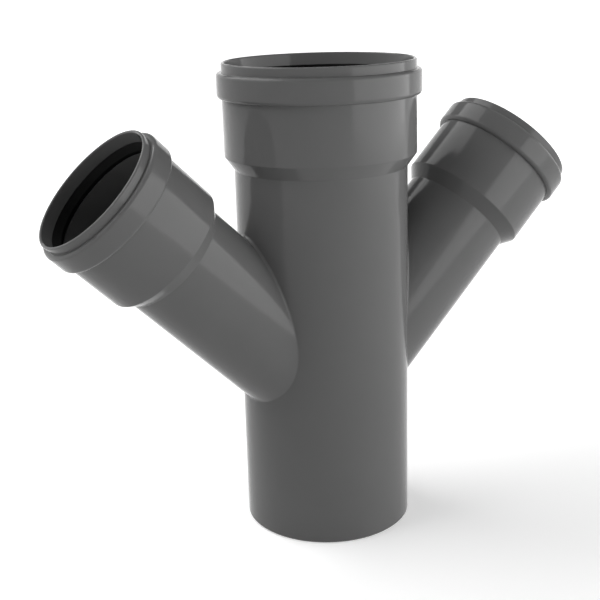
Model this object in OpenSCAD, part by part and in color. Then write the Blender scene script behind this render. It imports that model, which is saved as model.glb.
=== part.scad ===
// Double wye for push-fit drain pipe: a straight run with a plain spigot below, two slanted
// side branches opposite each other in one plane, and a socket with a lip seal on each open
// end. Millimetres. +Z is up the run and +X is towards the right branch. The origin is the
// centre of the spigot's end face.

/* [Pipes] */
// Outside diameter of the run
run_od = 110; // [104:0.5:118]
// Wall of the run
run_wall = 5.3; // [2.7:0.1:6.5]
// Outside diameter of the branches
branch_od = 75; // [70:0.5:80]
// Wall of the branches
branch_wall = 4.5; // [1.9:0.1:6]
// Chamfer round the spigot's outer edge
spigot_chamfer = 1.2; // [0.5:0.1:2.5]
// Chamfer round the spigot's inner edge
spigot_inner_chamfer = 0.6; // [0.3:0.1:1.2]

/* [Layout] */
// Height above the spigot's end where the branch axes cross the run's axis
crossing_height = 88.9; // [84:0.1:105]
// Distance from that crossing up to the run's mouth
run_reach = 215.5; // [195:0.1:260]
// Distance from that crossing along a branch to its mouth
branch_reach = 215.2; // [205:0.1:260]
// Angle between a branch and the run
branch_angle = 45; // [43:1:50]
// Radius of the fillet where a branch meets the run
crotch_r = 1.5; // [0.8:0.1:3]

/* [Run socket] */
// Depth from the mouth to the upper edge of the cone
run_socket_depth = 57.8; // [50:0.1:62]
// Length of the cone between the run and its socket
run_cone = 8.4; // [6:0.1:12]
// Length of the bead over the run's seal
run_bead = 15.9; // [15:0.1:20]
// Length of the lip between the bead and the mouth
run_lip = 5.9; // [4:0.1:7]

/* [Branch sockets] */
// Depth from the mouth to the upper edge of the cone
branch_socket_depth = 57.4; // [50:0.1:62]
// Length of the cone between a branch and its socket
branch_cone = 8; // [6:0.1:12]
// Length of the bead over a branch's seal
branch_bead = 15.1; // [14.5:0.1:20]
// Length of the lip between the bead and the mouth
branch_lip = 5.3; // [4:0.1:7]

/* [Outside of the sockets] */
// How far a socket's body stands out from the pipe
socket_rise = 6; // [5:0.1:7]
// How far the bead stands out from the pipe
bead_rise = 9; // [8.5:0.1:11]
// How far the lip stands out from the pipe
lip_rise = 5.75; // [5.5:0.05:6.5]
// Rounding of the bead's edge towards the mouth
bead_top_round = 2.2; // [1:0.1:2.6]
// Rounding of the bead's edge towards the pipe
bead_foot_round = 2.4; // [1:0.1:2.9]
// Rounding of the lip's outer edge
lip_round = 1; // [0.4:0.1:1.2]

/* [Inside of the sockets] */
// Gap all round between a mating pipe and its socket
pipe_clearance = 0.3; // [0.2:0.05:0.35]
// How far the pipe stop lies below the upper edge of the cone
stop_drop = 2.5; // [1:0.1:4]
// Chamfer on the pipe stop's inner edge
stop_chamfer = 1; // [0.4:0.1:2]
// How far the mouth's inner edge stands out from the mating pipe
mouth_rise = 3.8; // [3.2:0.1:4]
// Chamfer round the mouth's inner edge
mouth_chamfer = 0.6; // [0.2:0.1:0.7]
// How far the narrow end of the lead-in stands out from the mating pipe
throat_rise = 2.7; // [1.5:0.1:3]
// Depth from the mouth to the groove
groove_depth = 8; // [7:0.1:9]
// Width of the groove along the pipe
groove_width = 7; // [6.9:0.1:8.5]
// How far the groove's floor stands out from the mating pipe
groove_rise = 6.1; // [5.8:0.1:6.4]

/* [Seals] */
// Gap between a seal and its groove
seal_gap = 0.05; // [0.02:0.01:0.1]
// Thickness of the seal's band on the groove's floor
seal_band = 2.5; // [2:0.1:2.8]
// Depth from the front of the groove to the start of the lip's land
land_depth = 4.6; // [3.8:0.1:4.7]
// Length of the land on the mating pipe
land_length = 1.5; // [1:0.1:1.7]
// Thickness of the lip behind its slope
seal_lip = 1.9; // [1.5:0.1:2.1]
// Rounding at the back of the lip's tip
seal_tip_round = 0.6; // [0.3:0.1:0.8]

/* [Hidden] */
$fn = 96;

run_r = run_od / 2;
branch_r = branch_od / 2;
run_length = crossing_height + run_reach;

// Steps of a rounded edge, rings round a crotch fillet and steps across it
round_steps = 6;
fillet_rings = 72;
fillet_steps = 4;
// How deep the fillet's edges and its root are set into the walls that it joins
fillet_set = 0.12;
fillet_root = 1.2;
// How far a cut runs past a face
overcut = 1;

grey = [0.45, 0.455, 0.46];
black = [0.07, 0.07, 0.075];

// Points of an arc in the half section's plane
function arc(centre, r, from, to) =
    [for (i = [0 : round_steps]) let (a = from + (to - from) * i / round_steps) centre + r * [cos(a), sin(a)]];

function unit(v) = v / norm(v);

// Outside of one arm's socket as a half section, from the foot of its cone to its mouth
function socket_outline(pipe_r, length, depth, cone, bead, lip) =
    let (
        cone_top = length - depth,
        bead_top = length - lip,
        bead_foot = bead_top - bead,
        body_r = pipe_r + socket_rise,
        bead_r = pipe_r + bead_rise,
        lip_r = pipe_r + lip_rise
    )
    concat(
        [[pipe_r, cone_top - cone], [body_r, cone_top], [body_r, bead_foot]],
        arc([bead_r - bead_foot_round, bead_foot + bead_foot_round], bead_foot_round, -90, 0),
        arc([bead_r - bead_top_round, bead_top - bead_top_round], bead_top_round, 0, 90),
        [[lip_r, bead_top]],
        arc([lip_r - lip_round, length - lip_round], lip_round, 0, 90),
        [[0, length]]
    );

// Space inside one arm as a half section: waterway, pipe stop, socket, groove and lead-in
function waterway_outline(pipe_r, wall, length, depth, foot) =
    let (
        bore_r = pipe_r - wall,
        socket_r = pipe_r + pipe_clearance,
        groove_r = pipe_r + groove_rise,
        mouth_r = pipe_r + mouth_rise,
        stop = length - depth - stop_drop,
        groove_top = length - groove_depth,
        groove_foot = groove_top - groove_width
    )
    concat(
        foot,
        [
            [bore_r, stop - stop_chamfer],
            [bore_r + stop_chamfer, stop],
            [socket_r, stop],
            [socket_r, groove_foot],
            [groove_r, groove_foot],
            [groove_r, groove_top],
            [pipe_r + throat_rise, groove_top],
            [mouth_r, length - mouth_chamfer],
            [mouth_r + mouth_chamfer, length],
            [mouth_r + mouth_chamfer, length + overcut],
            [0, length + overcut]
        ]
    );

// Foot of the run's half sections: the spigot's end, and the bore through it
spigot_foot = [[0, 0], [run_r - spigot_chamfer, 0], [run_r, spigot_chamfer]];
function spigot_bore(r, c) = [[0, -overcut], [r + c, -overcut], [r + c, 0], [r, c]];

// Puts what stands on the Z axis onto the branch that leans towards +X (1) or -X (-1)
module on_branch(lean) {
    translate([0, 0, crossing_height])
        rotate([0, lean * branch_angle, 0])
            children();
}

// Outside of the run, from the spigot's end to the mouth
module run_outside() {
    rotate_extrude()
        polygon(concat(
            spigot_foot,
            socket_outline(run_r, run_length, run_socket_depth, run_cone, run_bead, run_lip)
        ));
}

// Outside of a branch, from the crossing to its mouth
module branch_outside() {
    rotate_extrude()
        polygon(concat(
            [[0, 0], [branch_r, 0]],
            socket_outline(branch_r, branch_reach, branch_socket_depth, branch_cone, branch_bead, branch_lip)
        ));
}

// Space inside the run
module run_waterway() {
    rotate_extrude()
        polygon(waterway_outline(
            run_r, run_wall, run_length, run_socket_depth,
            spigot_bore(run_r - run_wall, spigot_inner_chamfer)
        ));
}

// Space inside a branch
module branch_waterway() {
    rotate_extrude()
        polygon(waterway_outline(
            branch_r, branch_wall, branch_reach, branch_socket_depth,
            [[0, 0], [branch_r - branch_wall, 0]]
        ));
}

// The crotch fillet is the path of a ball that rolls round a branch and touches the run too.
// A turn is an angle round the branch's axis, with 0 on its underside.
along = [sin(branch_angle), 0, cos(branch_angle)];
under = [cos(branch_angle), 0, -sin(branch_angle)];
function from_axis(turn) = cos(turn) * under + sin(turn) * [0, 1, 0];

// Centre of the ball at a turn round the branch
function ball_centre(turn) =
    let (
        girth = branch_r + crotch_r,
        x = sqrt(pow(run_r + crotch_r, 2) - pow(girth * sin(turn), 2)),
        s = (x - girth * cos(turn) * under.x) / along.x
    )
    [0, 0, crossing_height] + s * along + girth * from_axis(turn);

// Section of the fillet at a turn: its root inside the corner, then across from run to branch
function fillet_section(turn) =
    let (
        centre = ball_centre(turn),
        to_run = -unit([centre.x, centre.y, 0]),
        to_branch = -from_axis(turn),
        to_corner = unit(to_run + to_branch),
        sweep = acos(to_run * to_branch)
    )
    concat(
        [centre + (crotch_r / cos(sweep / 2) + fillet_root) * to_corner],
        [centre + (crotch_r + fillet_set) * to_run],
        [for (i = [1 : fillet_steps - 1])
            let (t = i / fillet_steps)
            centre + crotch_r * (sin((1 - t) * sweep) * to_run + sin(t * sweep) * to_branch) / sin(sweep)],
        [centre + (crotch_r + fillet_set) * to_branch]
    );

// Fillet round the foot of the branch that leans towards +X
module crotch_fillet() {
    sections = [for (ring = [0 : fillet_rings - 1]) fillet_section(360 * ring / fillet_rings)];
    size = len(sections[0]);
    function at(ring, i) = (ring % fillet_rings) * size + i % size;
    polyhedron(
        points = [for (section = sections) each section],
        faces = [for (ring = [0 : fillet_rings - 1], i = [0 : size - 1]) each [
            [at(ring, i), at(ring + 1, i), at(ring + 1, i + 1)],
            [at(ring, i), at(ring + 1, i + 1), at(ring, i + 1)]
        ]]
    );
}

// The moulded fitting: run, branches, sockets and crotch fillets in one piece
module body() {
    color(grey)
        difference() {
            union() {
                run_outside();
                for (lean = [-1, 1])
                    on_branch(lean) branch_outside();
                crotch_fillet();
                mirror([1, 0, 0]) crotch_fillet();
            }
            run_waterway();
            for (lean = [-1, 1])
                on_branch(lean) branch_waterway();
        }
}

// Lip seal in the groove of an arm: a band on the groove's floor, and a lip that slopes in
// from the front of the groove to a land on the mating pipe
module lip_seal(pipe_r, length) {
    front = length - groove_depth - seal_gap;
    back = length - groove_depth - groove_width + seal_gap;
    outer_r = pipe_r + groove_rise - seal_gap;
    band_r = outer_r - seal_band;
    land_top = length - groove_depth - land_depth;
    land_foot = land_top - land_length;
    rotate_extrude()
        polygon([
            [outer_r, back],
            [outer_r, front],
            [pipe_r + throat_rise, front],
            [pipe_r, land_top],
            [pipe_r, land_foot],
            [pipe_r + seal_tip_round, land_foot - seal_tip_round],
            [pipe_r + seal_lip, land_foot - seal_tip_round],
            [band_r, land_top],
            [band_r, back]
        ]);
}

module run_seal() {
    color(black) lip_seal(run_r, run_length);
}

module left_branch_seal() {
    color(black) on_branch(-1) lip_seal(branch_r, branch_reach);
}

module right_branch_seal() {
    color(black) on_branch(1) lip_seal(branch_r, branch_reach);
}

body();
run_seal();
left_branch_seal();
right_branch_seal();
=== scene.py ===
"""Looks of a double wye drain fitting: its moulded body, lip seals, a pale studio and the camera.

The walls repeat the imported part's sizes, with its sharp corners rounded as a mould leaves them.
Lengths are in millimetres, and what is handed over to the scene is scaled to metres.
"""

import logging
import math
from collections.abc import Iterable, Sequence
from dataclasses import dataclass, field
from enum import Enum

import bmesh
import bpy
import numpy as np
from mathutils import Matrix, Vector


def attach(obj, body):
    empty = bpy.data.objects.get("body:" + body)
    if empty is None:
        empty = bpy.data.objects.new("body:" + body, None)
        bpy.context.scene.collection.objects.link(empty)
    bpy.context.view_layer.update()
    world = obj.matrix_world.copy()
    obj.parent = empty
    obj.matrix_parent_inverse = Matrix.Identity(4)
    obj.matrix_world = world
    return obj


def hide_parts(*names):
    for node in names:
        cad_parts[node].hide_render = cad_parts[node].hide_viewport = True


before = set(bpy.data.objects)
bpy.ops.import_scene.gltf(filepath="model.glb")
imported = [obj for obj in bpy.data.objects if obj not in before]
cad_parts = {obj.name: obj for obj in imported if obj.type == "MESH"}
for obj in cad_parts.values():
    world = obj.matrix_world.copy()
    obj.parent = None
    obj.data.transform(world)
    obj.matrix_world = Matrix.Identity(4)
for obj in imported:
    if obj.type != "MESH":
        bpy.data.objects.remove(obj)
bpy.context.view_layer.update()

LOG = logging.getLogger("double_wye")
MM = 0.001
BODY = "root"
FEWEST_BEND_STEPS = 2


class Side(Enum):
    """Side of the moulding's wall that a surface is on."""

    OUTSIDE = 1
    INSIDE = -1


class Slot(Enum):
    """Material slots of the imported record."""

    PLASTIC = "grey_plastic"
    RUBBER = "black_rubber"


@dataclass(frozen=True)
class Corner:
    """A corner of a half section.

    Attributes:
        out: Distance from the axis that the section turns round.
        up: Distance along that axis.
        rounding: Radius that the corner is rounded with.
    """

    out: float
    up: float
    rounding: float = 0.0


@dataclass(frozen=True)
class HalfSection:
    """Line that is turned round an axis, with the material on its right.

    Attributes:
        points: Distances out and up of each point.
        facing: The way that the surface faces at each point, out and up.
        closed: Whether the line comes back to its first point.
    """

    points: np.ndarray
    facing: np.ndarray
    closed: bool

    @classmethod
    def through(
        cls, corners: Sequence[Corner], closed: bool = False, bend_step: float = 15.0
    ) -> "HalfSection":
        """Draws a line through corners and rounds each of them off.

        Args:
            corners: The corners in order. The first and last of an open line are its plain ends.
            closed: Whether the last corner is joined to the first.
            bend_step: Widest angle between two points of a rounded corner, in degrees.

        Returns:
            The line as a half section.
        """
        places = np.array([(corner.out, corner.up) for corner in corners])
        points: list[np.ndarray] = []
        facing: list[np.ndarray] = []
        last = len(corners) - 1
        for index, corner in enumerate(corners):
            if not closed and index in (0, last):
                way = places[1] - places[0] if index == 0 else places[-1] - places[-2]
                points.append(places[index])
                facing.append(left_of(unit(way)))
                continue
            before = unit(places[index] - places[index - 1])
            after = unit(places[(index + 1) % len(corners)] - places[index])
            bend = math.atan2(before[0] * after[1] - before[1] * after[0], float(before @ after))
            hand = math.copysign(1.0, bend)
            start = places[index] - corner.rounding * math.tan(abs(bend) / 2) * before
            centre = start + hand * corner.rounding * left_of(before)
            steps = max(FEWEST_BEND_STEPS, math.ceil(abs(bend) / math.radians(bend_step)))
            for step in range(steps + 1):
                normal = turned(left_of(before), bend * step / steps)
                points.append(centre - hand * corner.rounding * normal)
                facing.append(normal)
        return cls(np.array(points), np.array(facing), closed)


def unit(vector: np.ndarray) -> np.ndarray:
    """Vector, or each row of an array of vectors, at length one."""
    return vector / np.linalg.norm(vector, axis=-1, keepdims=True)


def left_of(way: np.ndarray) -> np.ndarray:
    """Direction to the left of a way in the plane of a half section."""
    return np.array([-way[1], way[0]])


def turned(vector: np.ndarray, angle: float) -> np.ndarray:
    """Vector of a plane, turned anticlockwise by an angle in radians."""
    c, s = math.cos(angle), math.sin(angle)
    return np.array([c * vector[0] - s * vector[1], s * vector[0] + c * vector[1]])


def about_y(angle: float) -> np.ndarray:
    """Matrix that leans what stands on the Z axis towards +X by an angle in degrees."""
    c, s = math.cos(math.radians(angle)), math.sin(math.radians(angle))
    return np.array([[c, 0, s], [0, 1, 0], [-s, 0, c]])


def about_z(angle: float) -> np.ndarray:
    """Matrix of a turn about the Z axis by an angle in degrees."""
    c, s = math.cos(math.radians(angle)), math.sin(math.radians(angle))
    return np.array([[c, -s, 0], [s, c, 0], [0, 0, 1]])


@dataclass(frozen=True)
class Skin:
    """A stretch of surface.

    Attributes:
        points: Place of each point.
        facing: The way that the surface faces at each point.
        faces: The four points of each face, anticlockwise seen from outside.
    """

    points: np.ndarray
    facing: np.ndarray
    faces: np.ndarray

    @classmethod
    def grid(cls, points: np.ndarray, facing: np.ndarray, flip: bool) -> "Skin":
        """Makes faces between rows of points that run right round.

        Args:
            points: Places, as rows x points x 3.
            facing: Directions, in the same order.
            flip: Whether the faces are turned over.

        Returns:
            The surface between the rows.
        """
        rows, count = points.shape[:2]
        here = np.arange(count)
        after = np.roll(here, -1)
        faces = []
        for row in range(rows - 1):
            low, high = row * count, (row + 1) * count
            faces.append(np.stack([low + here, low + after, high + after, high + here], axis=1))
        quads = np.concatenate(faces)
        return cls(points.reshape(-1, 3), facing.reshape(-1, 3), quads[:, ::-1] if flip else quads)

    @classmethod
    def joined(cls, skins: Iterable["Skin"]) -> "Skin":
        """Puts stretches of surface side by side in one, without fusing them.

        Args:
            skins: The stretches.

        Returns:
            One surface with all their points and faces.
        """
        parts = list(skins)
        starts = np.cumsum([0] + [len(part.points) for part in parts[:-1]])
        return cls(
            np.concatenate([part.points for part in parts]),
            np.concatenate([part.facing for part in parts]),
            np.concatenate([part.faces + start for part, start in zip(parts, starts)]),
        )

    def rotated(self, turn: np.ndarray) -> "Skin":
        """The surface after a turn about the origin."""
        return Skin(self.points @ turn.T, self.facing @ turn.T, self.faces)

    def fused_mesh(
        self, name: str, material: bpy.types.Material, reach: float = 0.004
    ) -> bpy.types.Mesh:
        """Makes a mesh in metres, with points that lie together fused and the true facing kept.

        Args:
            name: Name of the mesh.
            material: Material of all its faces.
            reach: How far apart two points may lie to be fused.

        Returns:
            The finished mesh.
        """
        mesh = bpy.data.meshes.new(name)
        mesh.from_pydata((self.points * MM).tolist(), [], self.faces.tolist(), shade_flat=False)
        facing = mesh.attributes.new("facing", "FLOAT_VECTOR", "POINT")
        facing.data.foreach_set("vector", self.facing.astype(np.float32).ravel())
        shell = bmesh.new()
        shell.from_mesh(mesh)
        bmesh.ops.remove_doubles(shell, verts=shell.verts, dist=reach * MM)
        shell.to_mesh(mesh)
        shell.free()
        kept = np.empty(len(mesh.vertices) * 3, dtype=np.float32)
        mesh.attributes["facing"].data.foreach_get("vector", kept)
        mesh.attributes.remove(mesh.attributes["facing"])
        mesh.normals_split_custom_set_from_vertices(kept.reshape(-1, 3))
        mesh.materials.append(material)
        return mesh


@dataclass(frozen=True)
class Fineness:
    """How finely the surfaces are divided.

    Attributes:
        run_steps: Faces round the run.
        branch_steps: Faces round a branch.
        wall_rows: Rows of faces on the run's wall round the foot of a branch.
        crotch_steps: Faces across the rounding where a branch meets the run.
        seam_margin: Height of the run's wall kept above and below the foot of a branch.
    """

    run_steps: int = 160
    branch_steps: int = 192
    wall_rows: int = 16
    crotch_steps: int = 6
    seam_margin: float = 12.0


@dataclass(frozen=True)
class Socket:
    """Sizes that all three sockets share.

    Attributes:
        body_rise: Height of the outer wall over the pipe's.
        bead_rise: Height of the bead over the pipe's wall.
        lip_rise: Height of the lip over the pipe's wall.
        bead_top_round: Rounding of the bead's edge towards the mouth.
        bead_foot_round: Rounding of the bead's other edge.
        lip_round: Rounding of the lip's outer edge.
        pipe_clearance: Gap between the socket's bore and the mating pipe.
        stop_drop: Distance from the upper edge of the cone down to the pipe stop.
        stop_chamfer: Chamfer of the pipe stop's inner edge.
        mouth_rise: Widening of the mouth over the pipe's wall, below its chamfer.
        mouth_chamfer: Chamfer round the mouth.
        throat_rise: Widening over the pipe's wall where the groove begins.
        groove_depth: Distance from the mouth to the groove.
        groove_width: Width of the groove.
        groove_rise: Height of the groove's floor over the pipe's wall.
        ledge_round: Rounding of the corners at either side of the bead.
        cone_round: Rounding of the cone's edges.
        edge_round: Rounding of the edges inside.
    """

    body_rise: float = 6.0
    bead_rise: float = 9.0
    lip_rise: float = 5.75
    bead_top_round: float = 2.2
    bead_foot_round: float = 2.4
    lip_round: float = 1.0
    pipe_clearance: float = 0.3
    stop_drop: float = 2.5
    stop_chamfer: float = 1.0
    mouth_rise: float = 3.8
    mouth_chamfer: float = 0.6
    throat_rise: float = 2.7
    groove_depth: float = 8.0
    groove_width: float = 7.0
    groove_rise: float = 6.1
    ledge_round: float = 0.2
    cone_round: float = 1.2
    edge_round: float = 0.3


@dataclass(frozen=True)
class SealSize:
    """Sizes of the lip seals.

    Attributes:
        gap: Distance between the seal and its groove.
        band: Thickness of the band on the groove's floor.
        land_depth: Distance from the front of the groove to the land.
        land_length: Length of the land on the mating pipe.
        lip: Thickness of the lip at its tip.
        tip_round: Rounding of the tip.
        edge_round: Rounding of the other edges.
    """

    gap: float = 0.05
    band: float = 2.5
    land_depth: float = 4.6
    land_length: float = 1.5
    lip: float = 1.9
    tip_round: float = 0.6
    edge_round: float = 0.35


@dataclass(frozen=True)
class Arm:
    """A pipe that ends in a push-fit socket.

    Attributes:
        pipe_r: Outer radius of the pipe.
        wall: Wall of the pipe.
        length: Distance from the arm's foot to its mouth.
        depth: Distance from the mouth to the upper edge of the cone.
        cone: Length of the cone.
        bead: Length of the bead over the seal.
        lip: Length of the lip in front of the bead.
        socket: Sizes shared with the other sockets.
        seal: Sizes of the seal in the groove.
    """

    pipe_r: float
    wall: float
    length: float
    depth: float
    cone: float
    bead: float
    lip: float
    socket: Socket = field(default_factory=Socket)
    seal: SealSize = field(default_factory=SealSize)

    @property
    def bore_r(self) -> float:
        """Radius of the waterway."""
        return self.pipe_r - self.wall

    def inside(self, foot: float) -> list[Corner]:
        """Corners of the inside, from a height on the waterway up to the mouth.

        Args:
            foot: Height at which the waterway's wall begins.

        Returns:
            The corners in order.
        """
        s = self.socket
        stop = self.length - self.depth - s.stop_drop
        socket_r = self.pipe_r + s.pipe_clearance
        groove_r = self.pipe_r + s.groove_rise
        groove_top = self.length - s.groove_depth
        groove_foot = groove_top - s.groove_width
        mouth_r = self.pipe_r + s.mouth_rise
        return [
            Corner(self.bore_r, foot),
            Corner(self.bore_r, stop - s.stop_chamfer, s.edge_round),
            Corner(self.bore_r + s.stop_chamfer, stop, s.edge_round),
            Corner(socket_r, stop, s.edge_round),
            Corner(socket_r, groove_foot, s.edge_round),
            Corner(groove_r, groove_foot, s.edge_round),
            Corner(groove_r, groove_top, s.edge_round),
            Corner(self.pipe_r + s.throat_rise, groove_top, s.edge_round),
            Corner(mouth_r, self.length - s.mouth_chamfer, s.edge_round),
            Corner(mouth_r + s.mouth_chamfer, self.length, s.edge_round),
        ]

    def outside(self, foot: float) -> list[Corner]:
        """Corners of the outside, from the mouth down to a height on the pipe.

        Args:
            foot: Height at which the pipe's wall ends.

        Returns:
            The corners in order.
        """
        s = self.socket
        lip_r = self.pipe_r + s.lip_rise
        bead_r = self.pipe_r + s.bead_rise
        body_r = self.pipe_r + s.body_rise
        bead_top = self.length - self.lip
        bead_foot = bead_top - self.bead
        cone_top = self.length - self.depth
        return [
            Corner(lip_r, self.length, s.lip_round),
            Corner(lip_r, bead_top, s.ledge_round),
            Corner(bead_r, bead_top, s.bead_top_round),
            Corner(bead_r, bead_foot, s.bead_foot_round),
            Corner(body_r, bead_foot, s.ledge_round),
            Corner(body_r, cone_top, s.cone_round),
            Corner(self.pipe_r, cone_top - self.cone, s.cone_round),
            Corner(self.pipe_r, foot),
        ]

    def end_section(self, inner_foot: float, outer_foot: float) -> HalfSection:
        """Half section of the wall, from the waterway over the mouth to the pipe."""
        return HalfSection.through(self.inside(inner_foot) + self.outside(outer_foot))

    def seal_section(self) -> HalfSection:
        """Half section of the lip seal in the groove.

        Returns:
            The closed line round it.
        """
        s, seal = self.socket, self.seal
        front = self.length - s.groove_depth - seal.gap
        back = self.length - s.groove_depth - s.groove_width + seal.gap
        outer_r = self.pipe_r + s.groove_rise - seal.gap
        band_r = outer_r - seal.band
        land_top = self.length - s.groove_depth - seal.land_depth
        land_foot = land_top - seal.land_length
        tip = land_foot - seal.tip_round
        corners = [
            Corner(outer_r, front, seal.edge_round),
            Corner(outer_r, back, seal.edge_round),
            Corner(band_r, back, seal.edge_round),
            Corner(band_r, land_top, seal.edge_round),
            Corner(self.pipe_r + seal.lip, tip, seal.edge_round),
            Corner(self.pipe_r, tip, seal.tip_round),
            Corner(self.pipe_r, land_top, seal.edge_round),
            Corner(self.pipe_r + s.throat_rise, front, seal.edge_round),
        ]
        return HalfSection.through(corners, closed=True)


def add_object(name: str, data: bpy.types.ID) -> bpy.types.Object:
    """Puts an object into the scene.

    Args:
        name: Name of the object.
        data: Its mesh, curve, lamp or camera.

    Returns:
        The object.
    """
    thing = bpy.data.objects.new(name, data)
    bpy.context.scene.collection.objects.link(thing)
    return thing


def math_node(nodes: bpy.types.Nodes, operation: str) -> bpy.types.Node:
    """Adds a Math node.

    Args:
        nodes: Nodes of the tree that it belongs to.
        operation: What it works out.

    Returns:
        The node.
    """
    node = nodes.new("ShaderNodeMath")
    node.operation = operation
    return node


@dataclass(frozen=True)
class Turner:
    """Geometry Nodes tree that turns a half section round an axis, leans it and repeats it.

    Attributes:
        tree: The tree, with one named input for each thing that it is given.
    """

    tree: bpy.types.NodeTree

    @classmethod
    def build(cls) -> "Turner":
        """Builds the tree with its named inputs.

        Returns:
            The finished tree, ready to turn half sections.
        """
        tree = bpy.data.node_groups.new("turned_part", "GeometryNodeTree")
        sockets = tree.interface
        for name, kind in (
            ("Half Section", "NodeSocketGeometry"),
            ("Pipe Radius", "NodeSocketFloat"),
            ("Steps", "NodeSocketInt"),
            ("Lean", "NodeSocketFloat"),
            ("Lift", "NodeSocketFloat"),
            ("Copies", "NodeSocketInt"),
            ("Material", "NodeSocketMaterial"),
        ):
            sockets.new_socket(name, in_out="INPUT", socket_type=kind)
        sockets.new_socket("Part", in_out="OUTPUT", socket_type="NodeSocketGeometry")
        nodes, links = tree.nodes, tree.links
        given, made = nodes.new("NodeGroupInput"), nodes.new("NodeGroupOutput")
        real = nodes.new("GeometryNodeRealizeInstances")
        finish = nodes.new("GeometryNodeSetMaterial")
        part = cls._turned_part(tree, given)
        links.new(cls._copies(tree, given, part), real.inputs["Geometry"])
        links.new(real.outputs["Geometry"], finish.inputs["Geometry"])
        links.new(given.outputs["Material"], finish.inputs["Material"])
        links.new(finish.outputs["Geometry"], made.inputs["Part"])
        return cls(tree)

    @staticmethod
    def _turned_part(tree: bpy.types.NodeTree, given: bpy.types.Node) -> bpy.types.NodeSocket:
        """Adds the nodes that turn the half section, lean it and lift it.

        Args:
            tree: The tree.
            given: Its input node.

        Returns:
            The output that gives the part in its place.
        """
        nodes, links = tree.nodes, tree.links
        circle = nodes.new("GeometryNodeCurvePrimitiveCircle")
        sweep = nodes.new("GeometryNodeCurveToMesh")
        place = nodes.new("GeometryNodeTransform")
        lean = nodes.new("ShaderNodeCombineXYZ")
        lift = nodes.new("ShaderNodeCombineXYZ")
        links.new(given.outputs["Pipe Radius"], circle.inputs["Radius"])
        links.new(given.outputs["Steps"], circle.inputs["Resolution"])
        links.new(circle.outputs["Curve"], sweep.inputs["Curve"])
        links.new(given.outputs["Half Section"], sweep.inputs["Profile Curve"])
        links.new(sweep.outputs["Mesh"], place.inputs["Geometry"])
        links.new(given.outputs["Lean"], lean.inputs["Y"])
        links.new(lean.outputs["Vector"], place.inputs["Rotation"])
        links.new(given.outputs["Lift"], lift.inputs["Z"])
        links.new(lift.outputs["Vector"], place.inputs["Translation"])
        return place.outputs["Geometry"]

    @staticmethod
    def _copies(
        tree: bpy.types.NodeTree, given: bpy.types.Node, part: bpy.types.NodeSocket
    ) -> bpy.types.NodeSocket:
        """Adds the nodes that repeat a part round the Z axis.

        Args:
            tree: The tree.
            given: Its input node.
            part: Output that gives the part.

        Returns:
            The output that gives all copies, as instances.
        """
        nodes, links = tree.nodes, tree.links
        spots = nodes.new("GeometryNodeMeshLine")
        spots.inputs["Offset"].default_value = (0.0, 0.0, 0.0)
        index = nodes.new("GeometryNodeInputIndex")
        share = math_node(nodes, "DIVIDE")
        share.inputs[0].default_value = math.tau
        turn = math_node(nodes, "MULTIPLY")
        heading = nodes.new("ShaderNodeCombineXYZ")
        copies = nodes.new("GeometryNodeInstanceOnPoints")
        links.new(given.outputs["Copies"], spots.inputs["Count"])
        links.new(given.outputs["Copies"], share.inputs[1])
        links.new(index.outputs["Index"], turn.inputs[0])
        links.new(share.outputs["Value"], turn.inputs[1])
        links.new(turn.outputs["Value"], heading.inputs["Z"])
        links.new(spots.outputs["Mesh"], copies.inputs["Points"])
        links.new(part, copies.inputs["Instance"])
        links.new(heading.outputs["Vector"], copies.inputs["Rotation"])
        return copies.outputs["Instances"]

    def turn(
        self,
        name: str,
        section: HalfSection,
        pipe_r: float,
        steps: int,
        material: bpy.types.Material,
        lean: float = 0.0,
        lift: float = 0.0,
        copies: int = 1,
    ) -> Skin:
        """Turns a half section into a surface.

        Args:
            name: Name of the turned part.
            section: The half section.
            pipe_r: Radius of the arm's pipe.
            steps: Faces round the axis.
            material: Material of the part.
            lean: Lean of the axis towards +X, in degrees.
            lift: Height of the arm's foot.
            copies: How many times the part stands round the Z axis.

        Returns:
            The surface of all copies.
        """
        line = bpy.data.curves.new(name, "CURVE")
        line.dimensions = "3D"
        spline = line.splines.new("POLY")
        spline.points.add(len(section.points) - 1)
        for point, (out, up) in zip(spline.points, section.points):
            point.co = ((out - pipe_r) * MM, -up * MM, 0.0, 1.0)
        spline.use_cyclic_u = section.closed
        holder = add_object(name, line)
        modifier = holder.modifiers.new("turned_part", "NODES")
        modifier.node_group = self.tree
        values = {
            "Pipe Radius": pipe_r * MM,
            "Steps": steps,
            "Lean": math.radians(lean),
            "Lift": lift * MM,
            "Copies": copies,
            "Material": material,
        }
        for item in self.tree.interface.items_tree:
            if item.name in values:
                modifier[item.identifier] = values[item.name]
        seen = holder.evaluated_get(bpy.context.evaluated_depsgraph_get())
        mesh = bpy.data.meshes.new_from_object(seen)
        points = np.empty(len(mesh.vertices) * 3)
        mesh.vertices.foreach_get("co", points)
        faces = np.empty(len(mesh.loops), dtype=np.int64)
        mesh.loops.foreach_get("vertex_index", faces)
        bpy.data.objects.remove(holder)
        bpy.data.curves.remove(line)
        bpy.data.meshes.remove(mesh)
        facing = [
            self._facing(section, steps) @ (about_z(360 * copy / copies) @ about_y(lean)).T
            for copy in range(copies)
        ]
        return Skin(points.reshape(-1, 3) / MM, np.concatenate(facing), faces.reshape(-1, 4))

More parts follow.
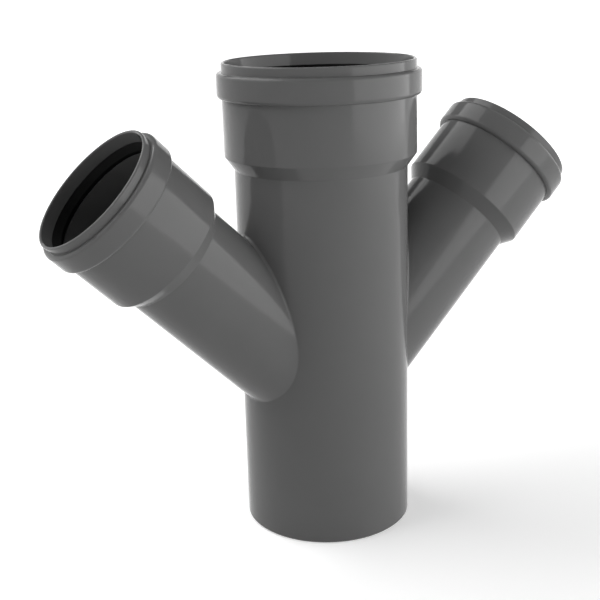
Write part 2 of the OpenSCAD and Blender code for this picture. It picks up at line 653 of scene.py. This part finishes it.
    @staticmethod
    def _facing(section: HalfSection, steps: int) -> np.ndarray:
        """Works out the way that an upright turned surface faces.

        Args:
            section: The half section.
            steps: Faces round the axis.

        Returns:
            A direction for each point, in the order that Curve to Mesh gives the points.
        """
        angles = math.tau * np.arange(steps) / steps
        out = section.facing[None, :, 0]
        up = np.broadcast_to(section.facing[None, :, 1], (steps, len(section.facing)))
        rings = [out * np.cos(angles)[:, None], out * np.sin(angles)[:, None], up]
        return np.stack(rings, axis=-1).reshape(-1, 3)


@dataclass(frozen=True)
class Crotch:
    """Surface on which a branch leaves the run, on one side of the walls.

    The rounding between the two walls is the path of a ball that rolls round the branch's wall and
    touches the run's wall too. A turn is an angle round the branch's axis, with 0 on its underside.

    Attributes:
        run_r: Radius of the run's wall on this side.
        branch_r: Radius of the branch's wall on this side.
        rounding: Radius of the ball.
        angle: Angle between the branch and the run, in degrees.
        crossing: Height at which the axes cross.
        side: Side of the moulding's wall.
        fineness: How finely the surface is divided.
    """

    run_r: float
    branch_r: float
    rounding: float
    angle: float
    crossing: float
    side: Side
    fineness: Fineness

    @property
    def turns(self) -> np.ndarray:
        """Turns of the points round the branch."""
        return math.tau * np.arange(self.fineness.branch_steps) / self.fineness.branch_steps

    @property
    def from_axis(self) -> np.ndarray:
        """Directions away from the branch's axis at each turn."""
        turns = self.turns
        round_z = np.stack([np.cos(turns), np.sin(turns), np.zeros_like(turns)], axis=1)
        return round_z @ about_y(self.angle).T

    @property
    def along(self) -> np.ndarray:
        """Direction of the branch's axis."""
        return about_y(self.angle) @ np.array([0.0, 0.0, 1.0])

    def ball_reach(self) -> np.ndarray:
        """Works out how far along the branch the ball's centre lies.

        Returns:
            The distance from the crossing at each turn.
        """
        girth = self.branch_r + self.rounding
        under = about_y(self.angle) @ np.array([1.0, 0.0, 0.0])
        x = np.sqrt((self.run_r + self.rounding) ** 2 - (girth * np.sin(self.turns)) ** 2)
        return (x - girth * np.cos(self.turns) * under[0]) / self.along[0]

    def ball_centres(self) -> np.ndarray:
        """Works out where the ball's centre lies.

        Returns:
            The place of the centre at each turn.
        """
        girth = self.branch_r + self.rounding
        foot = np.array([0.0, 0.0, self.crossing])
        return foot + self.ball_reach()[:, None] * self.along + girth * self.from_axis

    def run_span(self) -> tuple[float, float]:
        """Works out the stretch of the run that this surface takes up.

        Returns:
            The heights of its lower and its upper border.
        """
        heights = self.ball_centres()[:, 2]
        margin = self.fineness.seam_margin
        return float(heights.min()) - margin, float(heights.max()) + margin

    def skin(self, ring: float) -> Skin:
        """Surface of the half of the run that faces +X, and of its branch.

        Args:
            ring: Distance along the branch at which the branch's wall ends in a plain ring.

        Returns:
            The run's wall, the rounding and the branch's wall.
        """
        centres = self.ball_centres()
        to_run = unit(centres * np.array([-1.0, -1.0, 0.0]))
        to_branch = -self.from_axis
        sweep = np.arccos(np.sum(to_run * to_branch, axis=1))[:, None]
        rows, facing = self._run_wall(centres + self.rounding * to_run)
        for step in range(1, self.fineness.crotch_steps + 1):
            t = step / self.fineness.crotch_steps
            way = (np.sin((1 - t) * sweep) * to_run + np.sin(t * sweep) * to_branch) / np.sin(sweep)
            rows.append(centres + self.rounding * way)
            facing.append(-way)
        ring_centre = np.array([0.0, 0.0, self.crossing]) + ring * self.along
        rows.append(ring_centre + self.branch_r * self.from_axis)
        facing.append(self.from_axis)
        points, normals = np.array(rows), np.array(facing) * self.side.value
        return Skin.grid(points, normals, flip=self.side is Side.INSIDE)

    def _run_wall(self, edge: np.ndarray) -> tuple[list[np.ndarray], list[np.ndarray]]:
        """Rows of the run's wall, from the border of its +X half in to the edge of the rounding.

        Args:
            edge: Points where the ball touches the run's wall.

        Returns:
            The rows of points, and the way that the wall faces at them on its outside.
        """
        edge_angle, edge_z = np.arctan2(edge[:, 1], edge[:, 0]), edge[:, 2]
        border_angle, border_z = self._border()
        rows, facing = [], []
        for row in range(self.fineness.wall_rows + 1):
            t = row / self.fineness.wall_rows
            angle = border_angle + t * (edge_angle - border_angle)
            height = border_z + t * (edge_z - border_z)
            normal = np.stack([np.cos(angle), np.sin(angle), np.zeros_like(angle)], axis=1)
            rows.append(self.run_r * normal + np.stack([0 * angle, 0 * angle, height], axis=1))
            facing.append(normal)
        return rows, facing

    def _border(self) -> tuple[np.ndarray, np.ndarray]:
        """Works out the border of the +X half of the run's wall.

        Returns:
            The angles and the heights of its points, one point for each turn.
        """
        quarter = self.fineness.run_steps // 4
        upright = self.fineness.branch_steps // 2 - 2 * quarter
        low, high = self.run_span()
        across = np.linspace(-0.5, 0.5, 2 * quarter + 1) * math.pi
        climb = np.linspace(low, high, upright + 1)
        angles = np.concatenate([
            across[quarter:-1], np.full(upright, across[-1]), across[:0:-1],
            np.full(upright, across[0]), across[:quarter],
        ])
        heights = np.concatenate([
            np.full(quarter, low), climb[:-1], np.full(2 * quarter, high),
            climb[:0:-1], np.full(quarter, low),
        ])
        return angles, heights


@dataclass(frozen=True)
class Moulding:
    """The plastic body: run, branches, sockets and crotches in one piece.

    Attributes:
        run: The run with its socket.
        branch: A branch with its socket.
        angle: Angle between a branch and the run, in degrees.
        crossing: Height at which the axes cross.
        crotch_round: Rounding outside, where a branch meets the run.
        edge_round: Rounding inside, where the waterways meet.
        spigot_chamfer: Chamfer round the spigot's outer edge.
        spigot_inner_chamfer: Chamfer round the spigot's inner edge.
        spigot_round: Rounding of the chamfers' edges.
        ring_margin: Length of plain branch between the crotch and what is turned.
        fineness: How finely the surface is divided.
    """

    run: Arm
    branch: Arm
    angle: float = 45.0
    crossing: float = 88.9
    crotch_round: float = 1.5
    edge_round: float = 0.8
    spigot_chamfer: float = 1.2
    spigot_inner_chamfer: float = 0.6
    spigot_round: float = 0.3
    ring_margin: float = 4.0
    fineness: Fineness = field(default_factory=Fineness)

    def crotch(self, side: Side) -> Crotch:
        """Gives the crotch on one side of the walls.

        Args:
            side: Side of the moulding's wall.

        Returns:
            The surface on which a branch leaves the run.
        """
        out = side is Side.OUTSIDE
        return Crotch(
            run_r=self.run.pipe_r if out else self.run.bore_r,
            branch_r=self.branch.pipe_r if out else self.branch.bore_r,
            rounding=self.crotch_round if out else self.edge_round,
            angle=self.angle,
            crossing=self.crossing,
            side=side,
            fineness=self.fineness,
        )

    def spigot_section(self, outer_top: float, inner_top: float) -> HalfSection:
        """Gives the half section of the spigot, from its outside round to its bore.

        Args:
            outer_top: Height at which the outside begins.
            inner_top: Height at which the bore ends.

        Returns:
            The open line round the spigot's end.
        """
        run_r, bore_r, rounding = self.run.pipe_r, self.run.bore_r, self.spigot_round
        return HalfSection.through([
            Corner(run_r, outer_top),
            Corner(run_r, self.spigot_chamfer, rounding),
            Corner(run_r - self.spigot_chamfer, 0.0, rounding),
            Corner(bore_r + self.spigot_inner_chamfer, 0.0, rounding),
            Corner(bore_r, self.spigot_inner_chamfer, rounding),
            Corner(bore_r, inner_top),
        ])

    def build(self, turner: Turner, material: bpy.types.Material) -> bpy.types.Object:
        """Makes the body as one closed shell.

        Args:
            turner: Tree that turns the ends.
            material: The moulding's material.

        Returns:
            The finished piece.
        """
        outer, inner = self.crotch(Side.OUTSIDE), self.crotch(Side.INSIDE)
        outer_low, outer_high = outer.run_span()
        inner_low, inner_high = inner.run_span()
        ring = float(outer.ball_reach().max()) + self.ring_margin
        half = Skin.joined([outer.skin(ring), inner.skin(ring)])
        run, branch = self.run, self.branch
        run_steps, branch_steps = self.fineness.run_steps, self.fineness.branch_steps
        spigot = self.spigot_section(outer_low, inner_low)
        run_end = run.end_section(inner_high, outer_high)
        branch_end = branch.end_section(ring, ring)
        skin = Skin.joined([
            half,
            half.rotated(about_z(180)),
            turner.turn("spigot", spigot, run.pipe_r, run_steps, material),
            turner.turn("run_end", run_end, run.pipe_r, run_steps, material),
            turner.turn(
                "branch_ends", branch_end, branch.pipe_r, branch_steps, material,
                lean=self.angle, lift=self.crossing, copies=2,
            ),
        ])
        return new_piece("fitting", skin.fused_mesh("fitting", material), "body")


@dataclass(frozen=True)
class LipSeal:
    """A rubber ring in the groove of an arm.

    Attributes:
        node: CAD node that the ring stands for.
        arm: Arm whose groove holds it.
        lean: Lean of the arm towards +X, in degrees.
        lift: Height of the arm's foot.
        steps: Faces round the ring.
    """

    node: str
    arm: Arm
    lean: float = 0.0
    lift: float = 0.0
    steps: int = 160

    def build(self, turner: Turner, material: bpy.types.Material) -> bpy.types.Object:
        """Makes the ring.

        Args:
            turner: Tree that turns it.
            material: The rubber.

        Returns:
            The finished piece.
        """
        name = f"{self.node}_ring"
        skin = turner.turn(
            name, self.arm.seal_section(), self.arm.pipe_r, self.steps, material,
            lean=self.lean, lift=self.lift,
        )
        return new_piece(name, skin.fused_mesh(name, material), self.node)


def new_piece(name: str, mesh: bpy.types.Mesh, node: str) -> bpy.types.Object:
    """Puts a mesh into the scene as a piece that stands for a CAD node.

    Args:
        name: Name of the piece.
        mesh: Its mesh, in metres and in place.
        node: CAD node that it replaces.

    Returns:
        The piece.
    """
    piece = add_object(name, mesh)
    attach(piece, BODY)
    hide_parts(node)
    return piece


@dataclass(frozen=True)
class Noise:
    """One of the noises of the shared shader group.

    Attributes:
        name: Name of what the group puts out for it.
        scale: Scale that it has where a material gives none.
        detail: How many finer noises are laid over it.
    """

    name: str
    scale: float
    detail: float


NOISES = (Noise("Grain", scale=900.0, detail=2.0), Noise("Mottle", scale=30.0, detail=4.0))


@dataclass(frozen=True)
class MouldedSkin:
    """Shader group for what a mould leaves on a surface: a fine grain and a slow mottle.

    Attributes:
        group: The group, which each material places with its own values.
    """

    group: bpy.types.NodeTree

    @classmethod
    def build(cls) -> "MouldedSkin":
        """Builds the group with its named inputs and outputs.

        Returns:
            The group, ready to be placed in a material.
        """
        group = bpy.data.node_groups.new("moulded_skin", "ShaderNodeTree")
        sockets, kind = group.interface, "NodeSocketFloat"
        for noise in NOISES:
            scale = sockets.new_socket(f"{noise.name} Scale", in_out="INPUT", socket_type=kind)
            scale.default_value = noise.scale
        for noise in NOISES:
            sockets.new_socket(noise.name, in_out="OUTPUT", socket_type=kind)
        nodes, links = group.nodes, group.links
        given, made = nodes.new("NodeGroupInput"), nodes.new("NodeGroupOutput")
        place = nodes.new("ShaderNodeTexCoord")
        for noise in NOISES:
            texture = nodes.new("ShaderNodeTexNoise")
            texture.inputs["Detail"].default_value = noise.detail
            links.new(place.outputs["Object"], texture.inputs["Vector"])
            links.new(given.outputs[f"{noise.name} Scale"], texture.inputs["Scale"])
            links.new(texture.outputs["Fac"], made.inputs[noise.name])
        return cls(group)


@dataclass(frozen=True)
class Finish:
    """A moulded material.

    Attributes:
        name: Name of the material.
        dark: Colour where the mottle is darkest, linear.
        light: Colour where it is lightest, linear.
        gloss: Roughness where the mottle is lowest and highest.
        grain_scale: Scale of the grain.
        grain_depth: Depth of the grain, in mm.
        mottle_scale: Scale of the mottle.
        mirror: How strongly it mirrors, with 0.5 for what the index of refraction gives.
        ior: Index of refraction.
    """

    name: str
    dark: tuple[float, float, float]
    light: tuple[float, float, float]
    gloss: tuple[float, float]
    grain_scale: float
    grain_depth: float
    mottle_scale: float
    mirror: float
    ior: float = 1.5

    def material(self, skin: MouldedSkin) -> bpy.types.Material:
        """Makes the material.

        Args:
            skin: The shared shader group.

        Returns:
            The material.
        """
        material = bpy.data.materials.new(self.name)
        material.use_nodes = True
        nodes, links = material.node_tree.nodes, material.node_tree.links
        shader = nodes["Principled BSDF"]
        shader.inputs["IOR"].default_value = self.ior
        shader.inputs["Specular IOR Level"].default_value = self.mirror
        marks = nodes.new("ShaderNodeGroup")
        marks.node_tree = skin.group
        marks.inputs["Grain Scale"].default_value = self.grain_scale
        marks.inputs["Mottle Scale"].default_value = self.mottle_scale
        tone = nodes.new("ShaderNodeMix")
        tone.data_type = "RGBA"
        tone.inputs["A"].default_value = (*self.dark, 1.0)
        tone.inputs["B"].default_value = (*self.light, 1.0)
        gloss = nodes.new("ShaderNodeMapRange")
        gloss.inputs["To Min"].default_value = self.gloss[0]
        gloss.inputs["To Max"].default_value = self.gloss[1]
        bump = nodes.new("ShaderNodeBump")
        bump.inputs["Distance"].default_value = self.grain_depth * MM
        links.new(marks.outputs["Mottle"], tone.inputs["Factor"])
        links.new(marks.outputs["Mottle"], gloss.inputs["Value"])
        links.new(marks.outputs["Grain"], bump.inputs["Height"])
        links.new(tone.outputs["Result"], shader.inputs["Base Color"])
        links.new(gloss.outputs["Result"], shader.inputs["Roughness"])
        links.new(bump.outputs["Normal"], shader.inputs["Normal"])
        return material


@dataclass(frozen=True)
class Softbox:
    """A rectangular studio lamp.

    Attributes:
        name: Name of the lamp.
        place: Its place, in mm.
        aim: Point that it faces, in mm.
        size: Its width and height, in mm.
        power: Its power, in watts.
    """

    name: str
    place: tuple[float, float, float]
    aim: tuple[float, float, float]
    size: tuple[float, float]
    power: float

    def build(self) -> bpy.types.Object:
        """Makes the lamp.

        Returns:
            The lamp, turned towards its aim.
        """
        data = bpy.data.lights.new(self.name, "AREA")
        data.shape = "RECTANGLE"
        data.size, data.size_y = self.size[0] * MM, self.size[1] * MM
        data.energy = self.power
        lamp = add_object(self.name, data)
        place, aim = Vector(self.place) * MM, Vector(self.aim) * MM
        lamp.location = place
        lamp.rotation_euler = (aim - place).to_track_quat("-Z", "Y").to_euler()
        return lamp


@dataclass(frozen=True)
class Sweep:
    """White floor that curves up into a low wall all round.

    Its glow is for rays of the camera, of gloss and of glass. It is low near the fitting, where the
    lamps light the floor and the shadow falls, and full farther out, where their light is spent.

    Attributes:
        radius: Distance from the fitting to the wall, in mm.
        bend: Radius of the curve between floor and wall, in mm.
        height: Height of the wall, in mm.
        steps: Faces round it.
        tone: How much light it throws back.
        glow: What it adds for those rays near the fitting and farther out.
        glow_span: Distances between which the glow rises, in mm.
    """

    radius: float = 4000.0
    bend: float = 1000.0
    height: float = 1800.0
    steps: int = 96
    tone: float = 0.85
    glow: tuple[float, float] = (0.35, 0.95)
    glow_span: tuple[float, float] = (500.0, 2000.0)

    def build(self, turner: Turner) -> bpy.types.Object:
        """Makes the sweep.

        Args:
            turner: Tree that turns its half section.

        Returns:
            The sweep.
        """
        section = HalfSection.through([
            Corner(0.0, 0.0), Corner(self.radius, 0.0, self.bend), Corner(self.radius, self.height),
        ])
        material = self.material()
        skin = turner.turn("sweep", section, self.radius, self.steps, material)
        sweep = add_object("sweep", skin.fused_mesh("sweep", material))
        return sweep

    def material(self) -> bpy.types.Material:
        """Makes its white paint, which also glows.

        Returns:
            The material.
        """
        material = bpy.data.materials.new("white_sweep")
        material.use_nodes = True
        nodes, links = material.node_tree.nodes, material.node_tree.links
        nodes.remove(nodes["Principled BSDF"])
        paint = nodes.new("ShaderNodeBsdfDiffuse")
        paint.inputs["Color"].default_value = (self.tone,) * 3 + (1.0,)
        both = nodes.new("ShaderNodeAddShader")
        links.new(paint.outputs["BSDF"], both.inputs[0])
        links.new(self._glow(material.node_tree), both.inputs[1])
        links.new(both.outputs["Shader"], nodes["Material Output"].inputs["Surface"])
        return material

    def _glow(self, tree: bpy.types.NodeTree) -> bpy.types.NodeSocket:
        """Adds the nodes of the glow, which rises with the distance from the fitting.

        Args:
            tree: Tree of the paint.

        Returns:
            The output that gives the glow.
        """
        nodes, links = tree.nodes, tree.links
        place = nodes.new("ShaderNodeTexCoord")
        away = nodes.new("ShaderNodeVectorMath")
        away.operation = "LENGTH"
        rise = nodes.new("ShaderNodeMapRange")
        rise.interpolation_type = "SMOOTHSTEP"
        rise.inputs["From Min"].default_value = self.glow_span[0] * MM
        rise.inputs["From Max"].default_value = self.glow_span[1] * MM
        rise.inputs["To Min"].default_value = self.glow[0]
        rise.inputs["To Max"].default_value = self.glow[1]
        level = math_node(nodes, "MULTIPLY")
        glow = nodes.new("ShaderNodeEmission")
        links.new(place.outputs["Object"], away.inputs[0])
        links.new(away.outputs["Value"], rise.inputs["Value"])
        links.new(self._seen_by(tree), level.inputs[0])
        links.new(rise.outputs["Result"], level.inputs[1])
        links.new(level.outputs["Value"], glow.inputs["Strength"])
        return glow.outputs["Emission"]

    @staticmethod
    def _seen_by(tree: bpy.types.NodeTree) -> bpy.types.NodeSocket:
        """Adds the nodes that tell which rays see the glow: camera, gloss and glass.

        Args:
            tree: Tree of the paint.

        Returns:
            The output that gives 1 for those rays and 0 for others.
        """
        nodes, links = tree.nodes, tree.links
        path = nodes.new("ShaderNodeLightPath")
        seen = math_node(nodes, "MAXIMUM")
        seen_or_clear = math_node(nodes, "MAXIMUM")
        links.new(path.outputs["Is Camera Ray"], seen.inputs[0])
        links.new(path.outputs["Is Glossy Ray"], seen.inputs[1])
        links.new(seen.outputs["Value"], seen_or_clear.inputs[0])
        links.new(path.outputs["Is Transmission Ray"], seen_or_clear.inputs[1])
        return seen_or_clear.outputs["Value"]


@dataclass(frozen=True)
class Studio:
    """White sweep, two soft lamps and a little light from all round.

    Attributes:
        fill: Strength of the light from all round.
        sweep: The floor and the wall.
        lamps: The lamps.
    """

    fill: float = 0.1
    sweep: Sweep = field(default_factory=Sweep)
    lamps: tuple[Softbox, ...] = (
        Softbox(
            name="high_softbox", place=(-1055.0, 825.0, 1635.0), aim=(0.0, 0.0, 150.0),
            size=(2500.0, 1500.0), power=50.0,
        ),
        Softbox(
            name="standing_softbox", place=(1170.0, -1090.0, 500.0), aim=(0.0, 0.0, 500.0),
            size=(2600.0, 1000.0), power=31.0,
        ),
    )

    def build(self, turner: Turner) -> None:
        """Makes the sweep, the world and the lamps.

        Args:
            turner: Tree that turns the sweep.
        """
        self.sweep.build(turner)
        world = bpy.data.worlds.new("studio")
        world.use_nodes = True
        light = world.node_tree.nodes["Background"].inputs
        light["Color"].default_value = (1.0, 1.0, 1.0, 1.0)
        light["Strength"].default_value = self.fill
        bpy.context.scene.world = world
        for lamp in self.lamps:
            lamp.build()
        bpy.context.scene.view_settings.view_transform = "Standard"


@dataclass(frozen=True)
class Viewpoint:
    """Where the photograph was taken from.

    Attributes:
        place: The camera's place, in mm.
        heading: The way that it faces, clockwise from +Y seen from above, in degrees.
        pitch: How far it looks up, in degrees.
        roll: How far it is turned about its own axis, in degrees.
        lens: Focal length, in mm.
        sensor: Width and height of the picture in the camera, in mm.
    """

    place: tuple[float, float, float] = (-343.25, -606.11, 357.5)
    heading: float = 28.233
    pitch: float = -16.656
    roll: float = -1.63
    lens: float = 66.164
    sensor: float = 36.0

    def build(self) -> bpy.types.Object:
        """Makes the camera.

        Returns:
            The scene's camera.
        """
        data = bpy.data.cameras.new("camera")
        data.lens = self.lens
        data.sensor_width, data.sensor_height = self.sensor, self.sensor
        camera = add_object("camera", data)
        camera.matrix_world = (
            Matrix.Translation(Vector(self.place) * MM)
            @ Matrix.Rotation(math.radians(-self.heading), 4, "Z")
            @ Matrix.Rotation(math.radians(90.0 + self.pitch), 4, "X")
            @ Matrix.Rotation(math.radians(self.roll), 4, "Z")
        )
        bpy.context.scene.camera = camera
        return camera


RUN = Arm(pipe_r=55.0, wall=5.3, length=304.4, depth=57.8, cone=8.4, bead=15.9, lip=5.9)
BRANCH = Arm(pipe_r=37.5, wall=4.5, length=215.2, depth=57.4, cone=8.0, bead=15.1, lip=5.3)
GREY_PLASTIC = Finish(
    name="grey_plastic", dark=(0.116, 0.116, 0.116), light=(0.126, 0.126, 0.126),
    gloss=(0.1, 0.14), grain_scale=900.0, grain_depth=0.01, mottle_scale=30.0, mirror=0.11,
)
BLACK_RUBBER = Finish(
    name="black_rubber", dark=(0.003, 0.003, 0.003), light=(0.0045, 0.0045, 0.0045),
    gloss=(0.55, 0.65), grain_scale=1400.0, grain_depth=0.02, mottle_scale=60.0, mirror=0.06,
)


def main() -> None:
    """Builds the camera, the fitting, its seals and the studio, in that order."""
    logging.basicConfig(level=logging.INFO, format="%(name)s: %(message)s")
    Viewpoint().build()
    turner, skin = Turner.build(), MouldedSkin.build()
    plastic, rubber = GREY_PLASTIC.material(skin), BLACK_RUBBER.material(skin)
    moulding = Moulding(run=RUN, branch=BRANCH)
    seals = [
        LipSeal("run_seal", RUN),
        LipSeal("left_branch_seal", BRANCH, lean=-moulding.angle, lift=moulding.crossing),
        LipSeal("right_branch_seal", BRANCH, lean=moulding.angle, lift=moulding.crossing),
    ]
    pieces = [moulding.build(turner, plastic)] + [seal.build(turner, rubber) for seal in seals]
    for piece in pieces:
        LOG.info("%s: %d faces", piece.name, len(piece.data.polygons))
    Studio().build(turner)


if __name__ == "__main__":
    main()
